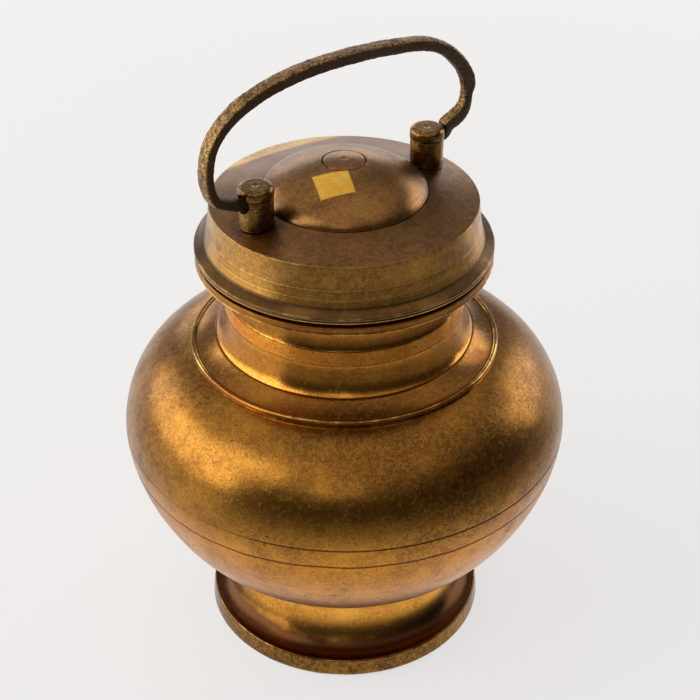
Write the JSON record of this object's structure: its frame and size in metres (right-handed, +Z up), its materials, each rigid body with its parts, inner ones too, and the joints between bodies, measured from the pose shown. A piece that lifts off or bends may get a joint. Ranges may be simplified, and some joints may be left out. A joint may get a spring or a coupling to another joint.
{
  "type": "milk jug",
  "caption": "Round brass milk jug on a flared foot, with a beaded collar, a screw-on flanged lid with a raised dome, and a swinging bail held by two riveted posts.",
  "frame": {"origin": "on the jug's axis, at the surface that its foot stands on", "axes": "+Z up along the jug's axis; the bail's two posts lie on the X axis, so the bail stands in the XZ plane and swings towards +Y or -Y"},
  "size_m": [0.1872, 0.1872, 0.2662],
  "materials": {
    "foot_brass": "aged, dark in the waist, worn bright on the rim",
    "belly_brass": "aged satin, mottled, with turned hairlines",
    "neck_brass": "aged satin, worn brighter on the neck",
    "lid_brass": "aged, brown and dull on top, worn along the edges",
    "plug_brass": "aged, dull brown",
    "post_brass": "aged satin, turned",
    "bail_brass": "hand forged, nearly black in the hollows, worn on the outer face",
    "seal_leather": "dark, oiled"
  },
  "bodies": {
    "jug": {"foot_ring": "foot_brass", "lower_bowl": "belly_brass", "upper_bowl": "belly_brass", "neck_collar": "neck_brass", "threaded_mouth": "neck_brass"},
    "seal": {"lid_seal": "seal_leather"},
    "lid": {"lid_cap": "lid_brass", "lid_dome": "lid_brass", "dome_plug": "plug_brass", "post_left": "post_brass", "post_right": "post_brass"},
    "bail": {"bail_handle": "bail_brass"}
  },
  "joints": [
    {"name": "lid_rise", "type": "slide", "parent": "jug", "child": "seal", "axis": [0, 0, 1], "range_m": [0, 0.0176]},
    {"name": "lid_turn", "type": "hinge", "parent": "seal", "child": "lid", "pos_m": [0, 0, 0.2], "axis": [0, 0, 1], "range_deg": [0, 1260]},
    {"name": "bail_swing", "type": "hinge", "parent": "lid", "child": "bail", "pos_m": [0, 0, 0.21682], "axis": [1, 0, 0], "range_deg": [-98, 98]}
  ],
  "couplings": [
    {"joint": "lid_rise", "follows": "lid_turn", "m_per_rad": 0.00079577}
  ]
}
